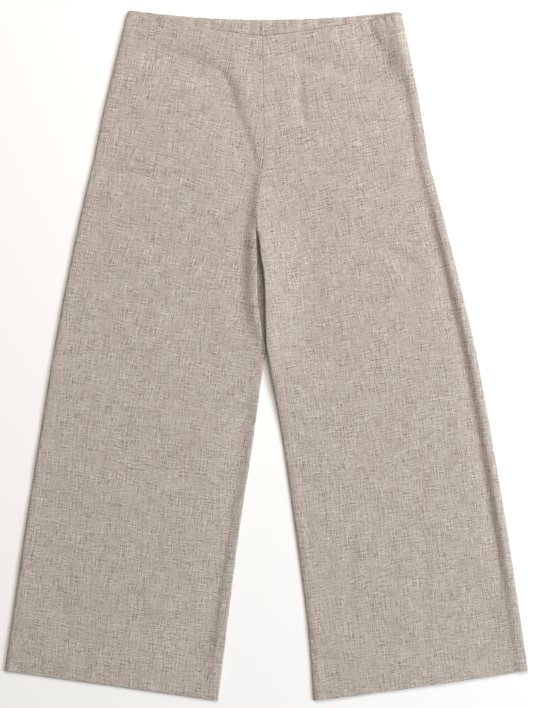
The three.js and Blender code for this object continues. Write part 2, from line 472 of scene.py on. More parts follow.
FRONT_CREASES = (
    # From the right hip across and down to the centre seam, with the puff above it
    Crease(
        -3.3 * MM,
        9 * MM,
        (
            (-0.172, 0.422),
            (-0.120, 0.407),
            (-0.080, 0.394),
            (-0.056, 0.370),
            (-0.042, 0.328),
            (-0.026, 0.285),
            (-0.012, 0.250),
        ),
        (35 * MM, 12 * MM),
        26 * MM,
    ),
    Crease(1.9 * MM, 15 * MM, ((-0.058, 0.414), (-0.034, 0.378), (-0.021, 0.330)), (25 * MM, 35 * MM)),
    # Break across the left front, and a short crease down from it
    Crease(
        -2.3 * MM,
        7 * MM,
        ((0.015, 0.416), (0.060, 0.402), (0.105, 0.393), (0.155, 0.390)),
        (30 * MM, 30 * MM),
        18 * MM,
    ),
    Crease(-1.6 * MM, 5 * MM, ((0.045, 0.398), (0.048, 0.350), (0.055, 0.290)), (20 * MM, 40 * MM), 9 * MM),
    # Gathers where the left end of the waist is drawn in
    Crease(
        -1.6 * MM,
        14 * MM,
        ((0.131, 0.468), (0.140, 0.444), (0.156, 0.414), (0.177, 0.382)),
        (4 * MM, 25 * MM),
        22 * MM,
    ),
    Crease(
        7.0 * MM,
        12 * MM,
        ((0.171, 0.473), (0.176, 0.447), (0.184, 0.420), (0.192, 0.388), (0.201, 0.350)),
        (2 * MM, 55 * MM),
        17 * MM,
    ),
    Crease(2.2 * MM, 8 * MM, ((0.147, 0.468), (0.155, 0.440), (0.166, 0.415)), (2 * MM, 25 * MM), 7 * MM),
    *(
        Crease(-1.5 * MM, 1.8 * MM, ((x, 0.468 + lift), (x + 0.006, 0.444 + lift)), (2 * MM, 16 * MM))
        for x, lift in ((0.126, -0.006), (0.138, -0.004), (0.147, 0.0), (0.158, 0.001), (0.167, 0.003))
    ),
    # The right end of the waist, which falls away to the seam
    Crease(-1.5 * MM, 22 * MM, ((-0.190, 0.478), (-0.198, 0.434)), (1 * MM, 20 * MM)),
    # Trough on the right leg beside the crotch
    Crease(
        -1.7 * MM,
        7 * MM,
        ((-0.013, 0.262), (-0.024, 0.218), (-0.030, 0.165), (-0.032, 0.110), (-0.033, 0.015)),
        (35 * MM, 80 * MM),
        18 * MM,
    ),
    # Trough along the right leg's inseam
    Crease(
        -2.1 * MM,
        8 * MM,
        (
            (-0.019, -0.030),
            (-0.030, -0.110),
            (-0.044, -0.190),
            (-0.058, -0.270),
            (-0.072, -0.345),
            (-0.088, -0.450),
        ),
        (60 * MM, 5 * MM),
        20 * MM,
    ),
    Crease(
        -1.6 * MM,
        12 * MM,
        ((-0.086, -0.330), (-0.096, -0.390), (-0.104, -0.462)),
        (50 * MM, 5 * MM),
        34 * MM,
    ),
    # Slack inside the left leg's outer hem corner
    Crease(
        -1.5 * MM,
        14 * MM,
        ((0.298, -0.300), (0.310, -0.360), (0.316, -0.440)),
        (50 * MM, 5 * MM),
        26 * MM,
    ),
    # Slack below the left hip, and breaks across both legs
    Crease(-1.6 * MM, 8 * MM, ((0.108, 0.162), (0.172, 0.141), (0.226, 0.112)), (30 * MM, 30 * MM), 14 * MM),
    Crease(
        -1.9 * MM,
        6 * MM,
        ((-0.235, 0.250), (-0.160, 0.248), (-0.085, 0.242)),
        (35 * MM, 35 * MM),
        11 * MM,
    ),
    Crease(-1.1 * MM, 7 * MM, ((-0.190, 0.158), (-0.095, 0.148)), (35 * MM, 35 * MM), 12 * MM),
    Crease(-1.1 * MM, 7 * MM, ((-0.170, 0.072), (-0.090, 0.064)), (35 * MM, 35 * MM), 12 * MM),
    Crease(-1.2 * MM, 7 * MM, ((0.095, 0.072), (0.190, 0.078)), (35 * MM, 35 * MM), 12 * MM),
    Crease(
        -0.7 * MM,
        8 * MM,
        ((-0.265, -0.250), (-0.278, -0.330), (-0.272, -0.400)),
        (40 * MM, 30 * MM),
        14 * MM,
    ),
    Crease(
        -0.6 * MM,
        8 * MM,
        ((0.112, -0.230), (0.116, -0.330), (0.112, -0.410)),
        (60 * MM, 30 * MM),
        12 * MM,
    ),
    Crease(
        -0.6 * MM,
        8 * MM,
        ((0.205, -0.180), (0.216, -0.290), (0.214, -0.400)),
        (60 * MM, 30 * MM),
        12 * MM,
    ),
)

BACK_CREASES = (
    Crease(0.7 * MM, 9 * MM, ((-0.150, 0.350), (-0.080, 0.300), (-0.030, 0.220)), (35 * MM, 35 * MM)),
    Crease(0.7 * MM, 9 * MM, ((0.140, 0.345), (0.085, 0.290), (0.040, 0.215)), (35 * MM, 35 * MM)),
    Crease(0.5 * MM, 8 * MM, ((-0.210, 0.120), (-0.120, 0.100)), (35 * MM, 35 * MM)),
    Crease(0.5 * MM, 8 * MM, ((0.110, 0.080), (0.200, 0.105)), (35 * MM, 35 * MM)),
    Crease(0.5 * MM, 10 * MM, ((-0.180, -0.120), (-0.230, -0.330)), (50 * MM, 50 * MM)),
    Crease(0.5 * MM, 10 * MM, ((0.170, -0.140), (0.215, -0.340)), (50 * MM, 50 * MM)),
)


@dataclass(frozen=True)
class Undulation:
    """The faint unevenness of cloth that was smoothed by hand: a few long waves, laid at random."""

    seed: int
    height: float
    shortest: float
    longest: float
    count: int = 20

    def height_at(self, x: np.ndarray, y: np.ndarray) -> np.ndarray:
        """The waves' height at plan points x, y."""
        rng = np.random.default_rng(self.seed)
        total = np.zeros(x.shape)
        for _ in range(self.count):
            turn, phase = rng.uniform(0, math.tau, 2)
            wave = math.tau / rng.uniform(self.shortest, self.longest)
            total += np.sin(wave * (x * math.cos(turn) + y * math.sin(turn)) + phase)
        return self.height * total / math.sqrt(self.count / 2)


@dataclass(frozen=True)
class Gathers:
    """The ripples that the elastic draws into the back waist: soft folds across it, at listed places."""

    places: tuple[float, ...] = (
        *(-0.171, -0.148, -0.121, -0.099, -0.076, -0.053, -0.023, 0.0075),
        *(0.032, 0.049, 0.069, 0.088, 0.104, 0.122, 0.146, 0.168),
    )
    depth: float = 1.3 * MM
    reach: float = 4.2 * MM
    length: float = 55 * MM
    edge_dip: float = 0.7 * MM

    def dip(self, plan: Plan) -> np.ndarray:
        """1 at the bottom of each ripple, and 0 between them."""
        dip = np.zeros(plan.x.shape)
        for i, place in enumerate(self.places):
            lean = place * 0.06
            strength = 0.6 + 0.4 * math.sin(2.1 * i + 0.6)
            away = (plan.x - place - lean * plan.from_waist / self.length) / self.reach
            dip = np.maximum(dip, strength * np.exp(-(away**2)))
        return dip

    def height_at(self, plan: Plan) -> np.ndarray:
        """How far the cloth stands up between the ripples, fading down from the waist."""
        fade = (1 - smooth(plan.from_waist, 0, self.length)) * smooth(plan.from_side, 5 * MM, 60 * MM)
        return self.depth * (1 - self.dip(plan)) * fade

    def draw_down(self, plan: Plan) -> None:
        """Lowers the waist edge a little at each ripple, in the plan points given."""
        plan.y = plan.y - self.edge_dip * self.dip(plan) * np.exp(-plan.from_waist / (6 * MM))


@dataclass(frozen=True)
class Fork:
    """The folds below the crotch, where the left leg stands up and lies a little over the right one.

    On the right leg the cloth rises to a ridge beside the fork and turns down sharply from it, so that a
    narrow, shaded valley runs between that ridge and the edge of the left leg.
    """

    ridge_line: EdgeCurve = EdgeCurve(
        (
            (-0.0150, 0.195),
            (-0.0145, 0.165),
            (-0.0140, 0.136),
            (-0.0139, 0.110),
            (-0.0134, 0.088),
            (-0.0122, 0.068),
            (-0.0098, 0.050),
            (-0.0066, 0.034),
            (-0.0020, 0.016),
            (0.0010, 0.003),
        )
    )
    crotch_lift: float = 5.0 * MM
    crest_reach: float = 8 * MM
    edge_lift: float = 5.6 * MM
    thigh_width: float = 64 * MM
    back_reach: float = 11 * MM
    ridge_height: float = 5.0 * MM
    ridge_reach: float = 11 * MM
    valley_level: float = 1.2 * MM
    wall: float = 1.4 * MM
    overhang: float = 1.85
    overhang_reach: float = 2.4 * MM
    flank_start: float = 3 * MM

    def below_crotch(self, y: np.ndarray) -> np.ndarray:
        """0 above the crotch and 1 from a little below it."""
        return smooth(-y, -0.182, -0.148)

    def above_gap(self, y: np.ndarray) -> np.ndarray:
        """1 above the place where the legs part, and 0 further down."""
        return smooth(y, -0.140, 0.090)

    def near_crotch(self, y: np.ndarray) -> np.ndarray:
        """0 well above the crotch and 1 from a little above it."""
        return smooth(-y, -0.262, -0.208)

    def left_lift(self, plan: Plan) -> np.ndarray:
        """How far the left leg's front stands up: most at its edge, and falling away across the thigh."""
        y = plan.y
        edge = self.crotch_lift * self.near_crotch(y) + self.edge_lift * self.below_crotch(y)
        across = np.maximum(1 - plan.from_inner / self.thigh_width, 0) ** 1.5
        return edge * across * self.above_gap(y)

    def left_back_lift(self, plan: Plan) -> np.ndarray:
        """How far the left leg's back is drawn up with the front at their seam."""
        y = plan.y
        edge = (self.crotch_lift + self.edge_lift) * self.below_crotch(y) * self.above_gap(y)
        return edge * np.exp(-((plan.from_inner / self.back_reach) ** 2))

    def shape_right(self, plan: Plan, level: np.ndarray) -> np.ndarray:
        """Puts the ridge and the valley into the right leg's front.

        Args:
            plan: The front's plan points; those beside the ridge are drawn under it.
            level: The front's heights without the fork.

        Returns:
            The new heights.
        """
        y = plan.y
        below = self.below_crotch(y)
        above = self.crotch_lift * self.near_crotch(y) * (1 - below)
        crest = above * np.exp(-plan.from_inner / self.crest_reach)
        strength = below * smooth(y, 0.004, 0.050)
        beyond = plan.x - self.ridge_line.x_at(y)
        flank = np.exp(-((np.minimum(beyond + self.flank_start, 0) / self.ridge_reach) ** 2))
        ridge = level + crest + self.ridge_height * strength * flank
        drop = smooth(beyond, -self.wall, self.wall) * below * smooth(y, -0.004, 0.020)
        lean = self.overhang * strength * smooth(y, 0.015, 0.045)
        plan.x = plan.x - lean * beyond * np.exp(-((beyond / self.overhang_reach) ** 2))
        return ridge + (self.valley_level - ridge) * drop


@dataclass(frozen=True)
class SeamRidge:
    """The stiff left side seam: it stands up along the edge, with a shaded dip inside it."""

    crest: float = 8 * MM
    crest_height: float = 3.2 * MM
    crest_reach: float = 7 * MM
    dip: float = 17 * MM
    dip_depth: float = 2.0 * MM
    dip_reach: float = 5 * MM
    dip_lee: float = 13 * MM

    def strength(self, y: np.ndarray) -> np.ndarray:
        """How strongly the seam stands up: slight at the hip, full down the leg and slight at the hem."""
        at_hip = 0.45 * smooth(-y, -0.420, -0.355)
        down_leg = 0.55 * smooth(-y, -0.215, -0.150)
        to_hem = 0.65 * smooth(-y, 0.250, 0.360)
        return at_hip + down_leg - to_hem

    def height_at(self, plan: Plan) -> np.ndarray:
        """The ridge's and the dip's height at plan points."""
        ridge = self.crest_height * np.exp(-(((plan.from_side - self.crest) / self.crest_reach) ** 2))
        inside = plan.from_side - self.dip
        dip = self.dip_depth * np.exp(-((inside / np.where(inside > 0, self.dip_lee, self.dip_reach)) ** 2))
        return self.strength(plan.y) * (ridge - dip)


@dataclass(frozen=True)
class Lie:
    """How the layers of a leg lie on the surface and on each other: the height of the cloth's middle."""

    side: Side
    fork: Fork = Fork()
    seam_ridge: SeamRidge = SeamRidge()
    waves: Undulation = Undulation(11, 0.30 * MM, 60 * MM, 150 * MM)
    ripples: Undulation = Undulation(23, 0.10 * MM, 16 * MM, 40 * MM)
    front_loft: float = 3.5 * MM
    turned_edge_loft: float = 0.55 * MM
    waist_gape: float = 2.0 * MM
    seam_height: float = 1.45 * MM
    seam_clearance: float = 0.05 * MM  # from the seam's height to each layer that meets it
    back_roll: float = 1.8 * MM
    shaded_roll: float = 5 * MM  # radius of the rolled edge at the side seam of the right leg
    stiff_roll: float = 1.5 * MM  # and at the two long edges that stand up
    thigh_roll: float = 10 * MM  # and at the inseam of the left leg
    allowance_width: float = 13 * MM
    allowance_height: float = 0.6 * MM
    allowance_softness: float = 3 * MM
    centre_allowance: float = 0.3  # how much of the step shows along the centre seam
    centre_groove: float = 0.9 * MM
    groove_radius: float = 1.5 * MM
    least_lift: float = 1.6  # in thicknesses of the cloth
    turned_lift: float = 1.9 * MM
    rest_softness: float = 0.25 * MM
    hem_dent: float = 0.35 * MM
    hem_dent_reach: float = 2.2 * MM

    def on_inseam(self, y: np.ndarray) -> np.ndarray:
        """0 along the centre seam and 1 along the inseam."""
        return smooth(-y, -CROTCH_Y, -CROTCH_Y + 25 * MM)

    def back(self, plan: Plan) -> np.ndarray:
        """Heights of a back panel, which rests on the surface and rolls up to its seams."""
        creases = sum(crease.height_at(plan.x, plan.y) for crease in BACK_CREASES)
        side_roll = 1 - quarter_round(plan.from_side, self.back_roll)
        inseam_roll = (1 - quarter_round(plan.from_inner, self.back_roll)) * self.on_inseam(plan.y)
        roll = np.maximum(side_roll, inseam_roll)
        level = CLOTH / 2 + creases * smooth(np.minimum(plan.from_inner, plan.from_side), 0, 20 * MM)
        seam = self.seam_height - CLOTH / 2 - self.seam_clearance
        rolled = level + (seam - level) * roll
        return rolled + self.fork.left_back_lift(plan) if self.side is Side.LEFT else rolled

    def front(self, plan: Plan) -> np.ndarray:
        """Heights of a front panel, which lies on the back and comes down to its seams."""
        creases = sum(crease.height_at(plan.x, plan.y) for crease in FRONT_CREASES)
        waves = self.waves.height_at(plan.x, plan.y)
        ripples = self.ripples.height_at(plan.x, plan.y)
        turned = np.maximum(
            1 - smooth(plan.from_hem, HEM_TURN - 1 * MM, HEM_TURN + 4 * MM),
            1 - smooth(plan.from_waist, WAIST_TURN - 4 * MM, WAIST_TURN + 12 * MM),
        )
        level = self.front_loft + self.turned_edge_loft * turned + creases + waves + ripples
        level += self.gape(plan) + self.hem_line(plan)
        on_inseam = self.on_inseam(plan.y)
        level += self.allowance(plan.from_side)
        if self.side is Side.LEFT:
            level += self.seam_ridge.height_at(plan)
        shown = self.centre_allowance + (1 - self.centre_allowance) * on_inseam
        level += self.allowance(plan.from_inner) * shown
        # The lowest that the front can lie: on the back, or on the turned edges between them.
        floor = CLOTH * self.least_lift + turned * self.turned_lift
        level = floor + np.logaddexp(0, (level - floor) / self.rest_softness) * self.rest_softness
        groove = 1 - quarter_round(plan.from_inner, self.groove_radius)
        level -= self.centre_groove * groove * (1 - on_inseam)
        if self.side is Side.RIGHT:
            level = self.fork.shape_right(plan, level)
        else:
            level = level + self.fork.left_lift(plan)
        right = self.side is Side.RIGHT
        roll = quarter_round(plan.from_side, self.shaded_roll if right else self.stiff_roll)
        inner_radius = self.stiff_roll if right else self.thigh_roll
        inner_roll = 1 + (quarter_round(plan.from_inner, inner_radius) - 1) * on_inseam
        seam = self.seam_height + CLOTH / 2 + self.seam_clearance
        if self.side is Side.LEFT:
            seam = seam + self.fork.left_back_lift(plan)
        return seam + (level - seam) * roll * inner_roll

    def gape(self, plan: Plan) -> np.ndarray:
        """How far the front stands off the casing at its waist edge, away from the side seams."""
        inwards = smooth(plan.from_side, 25 * MM, 105 * MM)
        return self.waist_gape * inwards * (1 - smooth(plan.from_waist, 0, 45 * MM))

    def allowance(self, distance: np.ndarray) -> np.ndarray:
        """The step over a seam allowance pressed open inside, by distance from the seam."""
        edge, soft = self.allowance_width, self.allowance_softness
        return self.allowance_height * (1 - smooth(distance, edge - soft, edge + soft))

    def hem_line(self, plan: Plan) -> np.ndarray:
        """The faint line that the blind stitches pull into the cloth over the turned edge."""
        away = (plan.from_hem - HEM_TURN) / self.hem_dent_reach
        return -self.hem_dent * np.exp(-(away**2))


# ---------------------------------------------------------------------------------------------------
# Finishes
# ---------------------------------------------------------------------------------------------------


class Nodes:
    """Writes a shader tree in short lines."""

    def __init__(self, material: bpy.types.Material) -> None:
        """Starts an empty tree in a material."""
        material.use_nodes = True
        self.tree = material.node_tree
        self.tree.nodes.clear()

    def add(self, kind: str, **settings: object) -> bpy.types.Node:
        """Adds a node and sets its properties."""
        node = self.tree.nodes.new(kind)
        for name, value in settings.items():
            setattr(node, name, value)
        return node

    def put(self, value: object, socket: bpy.types.NodeSocket) -> None:
        """Links an output to a socket, or sets the socket to a plain value."""
        if isinstance(value, bpy.types.NodeSocket):
            self.tree.links.new(value, socket)
        else:
            socket.default_value = value

    def math(self, operation: str, *values: object, clamp: bool = False) -> bpy.types.NodeSocket:
        """A Math node on sockets or numbers."""
        node = self.add("ShaderNodeMath", operation=operation, use_clamp=clamp)
        for i, value in enumerate(values):
            self.put(value, node.inputs[i])
        return node.outputs[0]

    def combine(self, x: object, y: object, z: object = 0.0) -> bpy.types.NodeSocket:
        """A vector from three sockets or numbers."""
        node = self.add("ShaderNodeCombineXYZ")
        for i, value in enumerate((x, y, z)):
            self.put(value, node.inputs[i])
        return node.outputs[0]

    def noise(self, vector: object, scale: float = 1.0, detail: float = 0.0) -> bpy.types.NodeSocket:
        """Smooth noise of about 0 to 1."""
        node = self.add("ShaderNodeTexNoise", noise_dimensions="3D", normalize=True)
        self.put(vector, node.inputs["Vector"])
        self.put(scale, node.inputs["Scale"])
        self.put(detail, node.inputs["Detail"])
        return node.outputs["Fac"]

    def spread(
        self, value: object, low: float, high: float, to_low: float, to_high: float
    ) -> bpy.types.NodeSocket:
        """A smooth Map Range between two pairs of numbers."""
        node = self.add("ShaderNodeMapRange", interpolation_type="SMOOTHSTEP")
        for i, number in enumerate((value, low, high, to_low, to_high)):
            self.put(number, node.inputs[i])
        return node.outputs[0]


@dataclass(frozen=True)
class YarnSystem:
    """One of the two sets of yarns: how they are spaced and how their tone runs along them."""

    pitch: float
    length: float
    salt: float
    contrast: float = 0.5  # how much each yarn differs from its neighbour
    gain: float = 3.4
    wander: float = 1.5  # how far a yarn strays sideways, in pitches
    wander_size: tuple[float, float] = (30 * MM, 8 * MM)
    yarn_stride: float = 7.31  # how far apart two neighbours read the noise
    salt_stride: float = 3.7

    def tone(self, n: Nodes, across: object, along: object) -> object:
        """The yarns' tone.

        Args:
            n: The tree to write in.
            across: Coordinate across the yarns, in metres.
            along: Coordinate along them, in metres.

        Returns:
            A socket of about -1 to 1.
        """
        slow_along = n.math("DIVIDE", along, self.wander_size[0])
        slow_across = n.math("DIVIDE", across, self.wander_size[1])
        wander = n.noise(n.combine(slow_along, slow_across, self.salt))
        moved = n.math("MULTIPLY_ADD", wander, self.wander * self.pitch, across)
        number = n.math("FLOOR", n.math("DIVIDE", moved, self.pitch))
        place = n.math("DIVIDE", along, self.length)
        layer = self.salt * self.salt_stride
        own = n.noise(n.combine(place, n.math("MULTIPLY", number, self.yarn_stride), layer), detail=1.0)
        neighbour = n.math("ADD", number, 1.0)
        other = n.noise(n.combine(place, n.math("MULTIPLY", neighbour, self.yarn_stride), layer), detail=1.0)
        lower = n.math("MULTIPLY", n.math("SUBTRACT", other, 0.5), self.contrast)
        return n.math("MULTIPLY", n.math("SUBTRACT", n.math("SUBTRACT", own, 0.5), lower), self.gain)


@dataclass(frozen=True)
class LinenFinish:
    """Slubbed linen: two systems of uneven yarns crossing, some paler and some browner than the rest."""

    name: str
    dark: tuple[float, float, float] = (0.200, 0.155, 0.118)
    dim: tuple[float, float, float] = (0.345, 0.291, 0.245)
    middle: tuple[float, float, float] = (0.471, 0.415, 0.371)
    bright: tuple[float, float, float] = (0.556, 0.508, 0.460)
    pale: tuple[float, float, float] = (0.665, 0.627, 0.582)
    yarn: float = 0.72 * MM
    slub: float = 1.35 * MM
    slub_length: float = 10.5 * MM
    slub_tone: float = 0.24
    yarn_tone: float = 0.20
    mottle_tone: float = 0.26
    fleck_tone: float = 0.42
    yarn_length: float = 5 * MM
    warp_stretch: float = 1.2  # how much longer the warp's slubs are than the weft's
    plain_size: float = 11 * MM  # of the places with fewer slubs
    mottle_size: float = 18 * MM
    fleck_size: float = 1.3 * MM
    bump_depth: float = 0.14 * MM
    gloss: float = 0.25
    sheen: float = 0.10

    def material(self) -> bpy.types.Material:
        """Builds the material."""
        material = bpy.data.materials.new(self.name)
        n = Nodes(material)
        grain = n.add("ShaderNodeUVMap", uv_map="grain")
        split = n.add("ShaderNodeSeparateXYZ")
        n.put(grain.outputs[0], split.inputs[0])
        u, v = split.outputs[0], split.outputs[1]
        weft_slub = YarnSystem(self.slub, self.slub_length, 1.0).tone(n, v, u)
        warp_slub = YarnSystem(self.slub, self.slub_length * self.warp_stretch, 2.0).tone(n, u, v)
        weft_yarn = YarnSystem(self.yarn, self.yarn_length, 3.0).tone(n, v, u)
        warp_yarn = YarnSystem(self.yarn, self.yarn_length, 4.0).tone(n, u, v)
        # Which yarn lies on top at a crossing, one over and one under.
        turn = math.pi / self.yarn
        wave_u = n.math("SINE", n.math("MULTIPLY", u, turn))
        wave_v = n.math("SINE", n.math("MULTIPLY", v, turn))
        over = n.math("MULTIPLY", wave_u, wave_v)
        weft_on_top = n.spread(over, -0.35, 0.35, 0.0, 1.0)
        slub = n.math("ADD", weft_slub, warp_slub)
        plain = n.noise(n.combine(u, v, 17.0), 1 / self.plain_size, 1.0)
        slub = n.math("MULTIPLY", slub, n.spread(plain, 0.32, 0.68, 0.55, 1.45))
        fine = n.math(
            "ADD",
            n.math("MULTIPLY", weft_yarn, weft_on_top),
            n.math("MULTIPLY", warp_yarn, n.math("SUBTRACT", 1.0, weft_on_top)),
        )
        mottle = n.math("SUBTRACT", n.noise(n.combine(u, v, 9.0), 1 / self.mottle_size, 3.0), 0.5)
        tone = n.math("MULTIPLY_ADD", slub, self.slub_tone, 0.5)
        tone = n.math("MULTIPLY_ADD", fine, self.yarn_tone, tone)
        tone = n.math("MULTIPLY_ADD", mottle, self.mottle_tone, tone)
        fleck_u = n.math("DIVIDE", u, self.fleck_size)
        fleck_v = n.math("DIVIDE", v, self.fleck_size)
        fleck = n.noise(n.combine(fleck_u, fleck_v, 13.0))
        tone = n.math("SUBTRACT", tone, n.spread(fleck, 0.68, 0.76, 0.0, self.fleck_tone))
        ramp = n.add("ShaderNodeValToRGB")
        n.put(tone, ramp.inputs[0])
        stops = (
            (0.0, self.dark),
            (0.28, self.dim),
            (0.5, self.middle),
            (0.72, self.bright),
            (1.0, self.pale),
        )
        elements = ramp.color_ramp.elements
        for i, (place, colour) in enumerate(stops):
            element = elements[i] if i < 2 else elements.new(place)
            element.position = place
            element.color = (*colour, 1.0)
        height = n.math("MULTIPLY_ADD", n.math("ABSOLUTE", over), 0.5, n.math("MULTIPLY", slub, 0.25))
        height = n.math("ADD", height, n.math("MULTIPLY", fine, 0.2))
        bump = n.add("ShaderNodeBump")
        bump.inputs["Strength"].default_value = 0.5
        bump.inputs["Distance"].default_value = self.bump_depth
        n.put(height, bump.inputs["Height"])
        shader = n.add("ShaderNodeBsdfPrincipled")
        n.put(ramp.outputs[0], shader.inputs["Base Color"])
        n.put(n.spread(slub, -1.0, 1.0, 0.92, 0.80), shader.inputs["Roughness"])
        n.put(bump.outputs[0], shader.inputs["Normal"])
        shader.inputs["Specular IOR Level"].default_value = self.gloss
        shader.inputs["Sheen Weight"].default_value = self.sheen
        shader.inputs["Sheen Roughness"].default_value = 0.5
        output = n.add("ShaderNodeOutputMaterial")
        n.put(shader.outputs[0], output.inputs[0])
        return material


@dataclass(frozen=True)
class ThreadFinish:
    """Spun sewing thread, matched to the linen, with the twist of its plies along each stitch and painted
    shade in the grooves between them.
    """

    name: str
    colour: tuple[float, float, float] = (0.46, 0.40, 0.345)
    twist: float = 0.5 * MM

    def material(self) -> bpy.types.Material:
        """Builds the material."""
        material = bpy.data.materials.new(self.name)
        n = Nodes(material)
        place = n.add("ShaderNodeTexCoord")
        wave = n.add("ShaderNodeTexWave", bands_direction="DIAGONAL")
        n.put(place.outputs["Object"], wave.inputs["Vector"])
        wave.inputs["Scale"].default_value = 1 / (self.twist * 6)
        ramp = n.add("ShaderNodeValToRGB")
        n.put(wave.outputs["Fac"], ramp.inputs[0])
        # Painted shade: the ramp darkens the thread where the bump's grooves between the plies lie, on top
        # of the bump's own shading.
        dark = tuple(0.8 * c for c in self.colour)
        ramp.color_ramp.elements[0].color = (*dark, 1.0)
        ramp.color_ramp.elements[1].color = (*self.colour, 1.0)
        bump = n.add("ShaderNodeBump")
        bump.inputs["Distance"].default_value = 0.05 * MM
        n.put(wave.outputs["Fac"], bump.inputs["Height"])
        shader = n.add("ShaderNodeBsdfPrincipled")
        n.put(ramp.outputs[0], shader.inputs["Base Color"])
        n.put(bump.outputs[0], shader.inputs["Normal"])
        shader.inputs["Roughness"].default_value = 0.6
        output = n.add("ShaderNodeOutputMaterial")
        n.put(shader.outputs[0], output.inputs[0])
        return material


# ---------------------------------------------------------------------------------------------------
# Sheets
# ---------------------------------------------------------------------------------------------------


@dataclass
class ClothSheet:
    """A sheet of cloth from rows of points: a grid of quads given the linen's thickness."""

    name: str
    points: np.ndarray
    grain: np.ndarray
    face_up: bool

    def build(self, material: bpy.types.Material) -> bpy.types.Object:
        """Makes the object.

        Args:
            material: The cloth's finish.

        Returns:
            The sheet, with its grain in a UV map and a live Solidify modifier.
        """
        rows, columns = self.points.shape[:2]
        index = np.arange(rows * columns).reshape(rows, columns)
        a, b, c, d = index[:-1, :-1], index[1:, :-1], index[1:, 1:], index[:-1, 1:]
        quads = np.stack([a, b, c, d], axis=-1).reshape(-1, 4)
        if not self.face_up:
            quads = quads[:, ::-1]
        mesh = bpy.data.meshes.new(self.name)
        mesh.from_pydata(self.points.reshape(-1, 3).tolist(), [], quads.tolist())
        uv = mesh.uv_layers.new(name="grain")
        loops = np.zeros(len(mesh.loops), np.int32)
        mesh.loops.foreach_get("vertex_index", loops)
        uv.data.foreach_set("uv", self.grain.reshape(-1, 2)[loops].astype(np.float32).ravel())
        mesh.shade_smooth()
        mesh.materials.append(material)
        piece = bpy.data.objects.new(self.name, mesh)
        bpy.context.scene.collection.objects.link(piece)
        wall = piece.modifiers.new("wall", "SOLIDIFY")
        wall.thickness = CLOTH
        wall.offset = 0.0
        return piece


@dataclass(frozen=True)
class Turn:
    """How an edge of a panel is turned over: half a circle, or the first quarter of one."""

    radius: float = FOLD_RADIUS
    steps: int = 6

    def arc(self, quarter_only: bool = False) -> tuple[np.ndarray, np.ndarray]:
        """The fold's profile.

        Args:
            quarter_only: Whether it stops half way round, where another piece takes over.

        Returns:
            How far each row stands out past the edge, and how far it has moved towards the turned side.
        """
        angles = np.linspace(0, math.pi, 2 * (self.steps // 2) + 1)[1:]
        if quarter_only:
            angles = angles[: self.steps // 2]
        return self.radius * np.sin(angles), self.radius * (1 - np.cos(angles))


